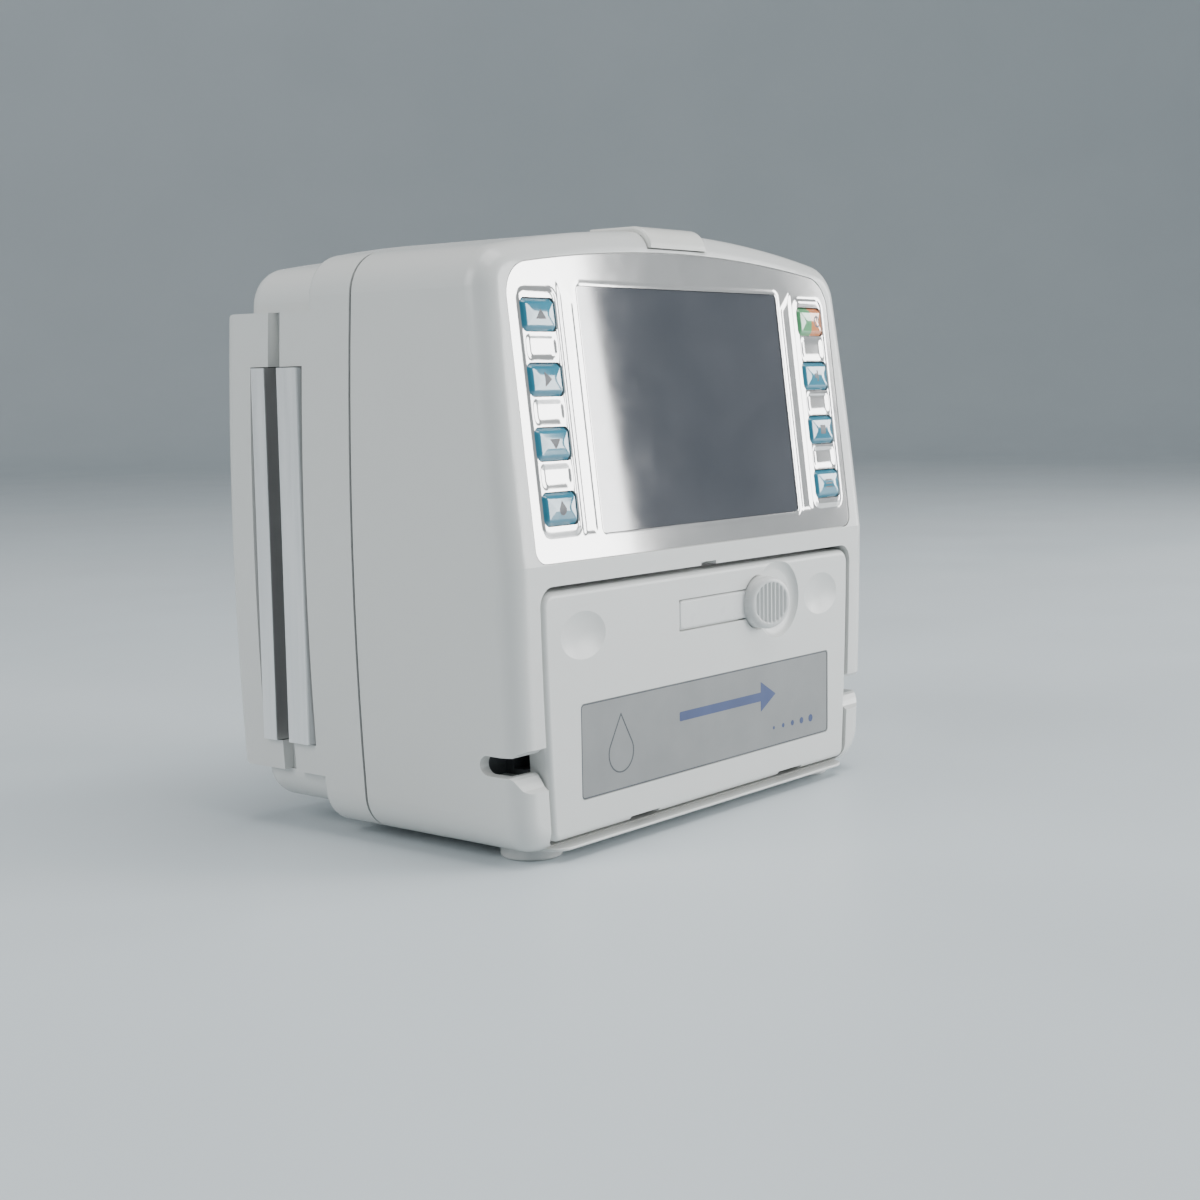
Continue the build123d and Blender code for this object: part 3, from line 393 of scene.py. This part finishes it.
points, faces = film(
    PANEL,
    (-over_half - 0.4, over_low - 0.4),
    (over_half + 0.4, over_top + 0.4),
    0.4,
    overlay_inside,
    emboss,
    lambda u, v: film_bottom + 0.02,
)
overlay = add_object("overlay_embossed", points, faces, "casing", looks["overlay_film"], 60)
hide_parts("membrane_overlay")


# ---- keys -----------------------------------------------------------------------------------------------
KEY_RIM, KEY_BEVEL, KEY_CROWN = -0.35, 0.85, 0.38       # heights: the cap's rim, then what each part adds
KEY_BACK = -2.6


def pillow(cu, cv):
    def top(u, v):
        d = -round_box(u, v, cu, cv, *KEY_HALF, KEY_R)
        return KEY_RIM + KEY_BEVEL * smooth(d / 1.1) ** 0.7 + KEY_CROWN * smooth(d / 3.6)

    return top


def arrow(across, along):
    """A triangle that points along its second coordinate."""
    return max(abs(across) * 0.8 + along * 0.62 - 0.75, -1.0 - along)


def small_drop(u, v):
    return disc(u, v, 0, -0.35, 1.15) if v < 0 else abs(u) * 0.85 + v * 0.55 - 0.95


def power(u, v):
    """A ring with a stroke, on the key's orange half."""
    return min(abs(disc(u, v, 2.6, 0, 1.25)) - 0.2, segment(u, v, (2.6, 0), (2.6, 1.5), 0.2))


def mute(u, v):
    return min(round_box(u, v, -0.7, 0, 0.45, 0.6, 0.1), segment(u, v, (0.2, -1.2), (0.2, 1.2), 0.28))


def menu(u, v):
    return min(segment(u, v, (-1.4, k), (1.4, k), 0.2) for k in (-0.9, 0.0, 0.9))


# Generic symbols, as outlines about the key's centre.
ICONS = {
    "key_left_1": arrow,
    "key_left_2": lambda u, v: arrow(v, u),
    "key_left_3": lambda u, v: arrow(u, -v),
    "key_left_4": small_drop,
    "key_right_1": power,
    "key_right_2": mute,
    "key_right_3": lambda u, v: round_box(u, v, 0, 0, 1.15, 1.15, 0.2),
    "key_right_4": menu,
}
for name in sorted(keys):
    cu, cv = key_centre(name)
    top = pillow(cu, cv)
    low = (cu - KEY_HALF[0] - 0.2, cv - KEY_HALF[1] - 0.2)
    high = (cu + KEY_HALF[0] + 0.2, cv + KEY_HALF[1] + 0.2)
    points, faces = film(
        PANEL,
        low,
        high,
        0.25,
        lambda u, v: round_box(u, v, cu, cv, *KEY_HALF, KEY_R),
        top,
        lambda u, v: KEY_BACK,
    )
    cap = add_object(name + "_cap", points, faces, name, looks["key_teal"], 50)
    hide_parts(name)
    if name == "key_right_1":
        cap.data.materials.clear()
        cap.data.materials.append(looks["key_green"])
        cap.data.materials.append(looks["key_orange"])
        for polygon in cap.data.polygons:
            polygon.material_index = int(polygon.center.x > cu * MM)
    points, faces = film(
        PANEL,
        low,
        high,
        0.2,
        lambda u, v: ICONS[name](u - cu, v - cv),
        lambda u, v: top(u, v) + 0.02,
        lambda u, v: top(u, v) - 0.05,
    )
    mark = add_object(name + "_symbol", points, faces, name, looks["ink_and_shade_grey"], 50)
    mark.parent = cap
    mark.matrix_parent_inverse = cap.matrix_world.inverted()


# ---- latch slider ---------------------------------------------------------------------------------------
(blade_u0, slider_v0, _), (slider_u1, slider_v1, crown) = DOOR.span("latch_slider")
KNOB_R = (slider_v1 - slider_v0) / 2
knob_u, knob_v = slider_u1 - KNOB_R, (slider_v0 + slider_v1) / 2
BLADE_HALF, BLADE_R = 3.375, 1.0
BLADE_FRONT, BLADE_ROUNDING, SLIDER_BACK = -0.05, 0.25, -1.05
KNOB_MID, KNOB_SLOPE, KNOB_EDGE = crown - 1.40, 0.2605, 1.2
RIB_HALF, RIB_PITCH, RIB_DEPTH = 5.1, 1.22, 0.62
RIBS_LEFT = 4.5                 # the ribs end this many pitches left of the middle


def blade(u, v):
    return round_box(u, v, (blade_u0 + knob_u) / 2, knob_v, (knob_u - blade_u0) / 2, BLADE_HALF, BLADE_R)


def slider_inside(u, v):
    return min(blade(u, v), disc(u, v, knob_u, knob_v, KNOB_R))


def slider_top(u, v):
    """Height of the slider's front: a flat blade, and a sloping knob with ribs."""
    du, dv = u - knob_u, v - knob_v
    r = math.hypot(du, dv)
    if r > KNOB_R:
        return BLADE_FRONT - BLADE_ROUNDING * (1 - smooth(-blade(u, v) / 0.4))
    over = max(r - KNOB_R + KNOB_EDGE, 0)
    height = KNOB_MID + KNOB_SLOPE * du - KNOB_EDGE + math.sqrt(max(KNOB_EDGE ** 2 - over ** 2, 0))
    ribbed = smooth((RIB_HALF - r) / 0.45) * smooth((du + RIBS_LEFT * RIB_PITCH) / 0.1)
    wave = math.cos(2 * math.pi * (du + RIB_PITCH / 2) / RIB_PITCH)
    return height - RIB_DEPTH * ribbed * smooth(0.5 + 0.75 * wave) - 0.02


points, faces = film(
    DOOR,
    (blade_u0 - 0.3, slider_v0 - 0.3),
    (slider_u1 + 0.3, slider_v1 + 0.3),
    0.12,
    slider_inside,
    slider_top,
    lambda u, v: SLIDER_BACK,
)
slider = add_object("latch_slider_ribbed", points, faces, "latch", looks["latch_plastic"], 50)
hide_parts("latch_slider")


# ---- label, with a generic drop and flow arrow, and a painted shadow ring round its edge ------------------
(lab_u0, lab_v0, _), (lab_u1, lab_v1, label_front) = DOOR.span("label_plate")
lab_u, lab_v = (lab_u0 + lab_u1) / 2, (lab_v0 + lab_v1) / 2
DROP_U, DROP_LOW, DROP_R, DROP_LINE = 14.0, 2.2, 4.4, 0.17
TIP_FROM, TIP_HALF = 2.2, 3.3
ARROW_V, SHAFT_U, SHAFT_HALF = 2.6, 53, (17.0, 1.1)
HEAD_U, TIP_U = 69.5, 76
MARK_GAP, MARK_PITCH, MARK_LOW, MARK_R, MARK_STEP = 8.0, 4.2, 6.0, 0.95, 0.13
# A thin dark ring just inside the label's edge is painted shadow, standing in for the gap round the label.
GAP_SHADOW_INSET, GAP_SHADOW_R, GAP_SHADOW_LINE = 0.2, 0.9, 0.12


def drop_outline(u, v):
    du, dv = abs(u - lab_u0 - DROP_U), v - lab_v + DROP_LOW
    tip = max(du * 0.87 + (dv - TIP_FROM) * 0.5 - TIP_HALF, TIP_FROM - dv - 0.3)
    body = math.hypot(du, dv) - DROP_R
    return abs(min(body, tip)) - DROP_LINE


def flow_arrow(u, v):
    dv = abs(v - lab_v - ARROW_V)
    shaft = round_box(u, v, lab_u0 + SHAFT_U, lab_v + ARROW_V, *SHAFT_HALF, 0.3)
    head = max((u - lab_u0 - TIP_U) * 0.5 + dv * 0.87, lab_u0 + HEAD_U - u)
    return min(shaft, head)


def drip_marks(u, v):
    return min(
        disc(u, v, lab_u1 - MARK_GAP - MARK_PITCH * k, lab_v - MARK_LOW, MARK_R - MARK_STEP * k) for k in range(5)
    )


# Painted shadow: the dark ring where the gap round the label is in shade.
def label_painted_gap_shadow(u, v):
    half_u = (lab_u1 - lab_u0) / 2 - GAP_SHADOW_INSET
    half_v = (lab_v1 - lab_v0) / 2 - GAP_SHADOW_INSET
    return abs(round_box(u, v, lab_u, lab_v, half_u, half_v, GAP_SHADOW_R)) - GAP_SHADOW_LINE


# name: outline, ink or painted shade, and the lowest and highest corner of where it may be
ARTWORK = {
    "label_drop": (drop_outline, "ink_and_shade_grey", (lab_u0 + 7, lab_v - 8), (lab_u0 + 21, lab_v + 8)),
    "label_arrow": (flow_arrow, "ink_blue", (lab_u0 + 34, lab_v - 3), (lab_u0 + 78, lab_v + 8)),
    "label_marks": (drip_marks, "ink_blue", (lab_u1 - 28, lab_v - 8), (lab_u1 - 5, lab_v - 4)),
    # The ring round the label's edge is painted shadow, in the grey of the ink.
    "label_painted_gap_shadow": (label_painted_gap_shadow, "ink_and_shade_grey", (lab_u0, lab_v0), (lab_u1, lab_v1)),
}
for name, (shape, ink, low, high) in ARTWORK.items():
    points, faces = film(
        DOOR,
        low,
        high,
        0.16,
        shape,
        lambda u, v: label_front + 0.03,
        lambda u, v: label_front - 0.02,
    )
    add_object(name, points, faces, "door", looks[ink])


# ---- stage ------------------------------------------------------------------------------------------------
BOWL_FLAT, BOWL_R, BOWL_TOP = 2.0, 0.9, 2.2


def bowl(sides=96, steps=12):
    """A round floor that sweeps up into a wall all round."""
    rim = [(BOWL_FLAT * k / 4, 0.0) for k in range(1, 5)]
    rim += [
        (BOWL_FLAT + BOWL_R * math.sin(a), BOWL_R * (1 - math.cos(a)))
        for a in (math.pi / 2 * k / steps for k in range(1, steps + 1))
    ]
    rim.append((BOWL_FLAT + BOWL_R, BOWL_TOP))
    turns = [2 * math.pi * k / sides for k in range(sides)]
    points = [(0, 0, 0)]
    for r, z in rim:
        points += [(r * math.cos(turn), r * math.sin(turn), z) for turn in turns]
    faces = [(0, 1 + k, 1 + (k + 1) % sides) for k in range(sides)]
    for row in range(len(rim) - 1):
        low = 1 + row * sides
        for k in range(sides):
            m = (k + 1) % sides
            faces.append((low + k, low + sides + k, low + sides + m, low + m))
    return points, faces


floor_look = procedural(
    "floor_look", (0.60, 0.66, 0.69), (0.62, 0.68, 0.71), (0.40, 0.5), mottling=6, grain=300, bump=0.01
)
floor = link_mesh("floor", *bowl(), floor_look)
floor.data.shade_smooth()


def add_light(name, place, target, size, power):
    light = bpy.data.lights.new(name, "AREA")
    light.shape = "RECTANGLE"
    light.size, light.size_y = size
    light.energy = power
    obj = bpy.data.objects.new(name, light)
    obj.location = place
    obj.rotation_euler = (Vector(target) - Vector(place)).to_track_quat("-Z", "Y").to_euler()
    bpy.context.scene.collection.objects.link(obj)


MIDDLE = (0, 0, 0.07)
PANEL_FRONT = (0, -0.04, 0.10)
add_light("left_light", (-1.25, 0.45, 0.85), MIDDLE, (0.8, 0.9), 13)
add_light("front_light", (0.78, -0.98, 0.34), PANEL_FRONT, (0.50, 0.64), 14)
add_light("right_light", (1.13, -0.50, 0.30), PANEL_FRONT, (0.30, 0.50), 6)
add_light("top_light", (0.1, -0.35, 1.5), MIDDLE, (1.1, 1.1), 20)

world = bpy.data.worlds.new("studio")
world.use_nodes = True
background = world.node_tree.nodes["Background"]
background.inputs["Color"].default_value = (0.86, 0.90, 0.94, 1)
background.inputs["Strength"].default_value = 0.22
bpy.context.scene.world = world

CAMERA_PLACE = Vector((-0.35896, -0.30066, 0.10329))
CAMERA_RIGHT = Vector((0.62987, -0.77653, -0.01589))
CAMERA_UP = Vector((0.09916, 0.06010, 0.99324))
camera_data = bpy.data.cameras.new("camera")
camera_data.sensor_width = 36
camera_data.lens = 56.283
camera_data.clip_start = 0.01
camera = bpy.data.objects.new("camera", camera_data)
turn = Matrix((CAMERA_RIGHT, CAMERA_UP, CAMERA_RIGHT.cross(CAMERA_UP))).transposed().to_4x4()
camera.matrix_world = Matrix.Translation(CAMERA_PLACE) @ turn
bpy.context.scene.collection.objects.link(camera)
bpy.context.scene.camera = camera
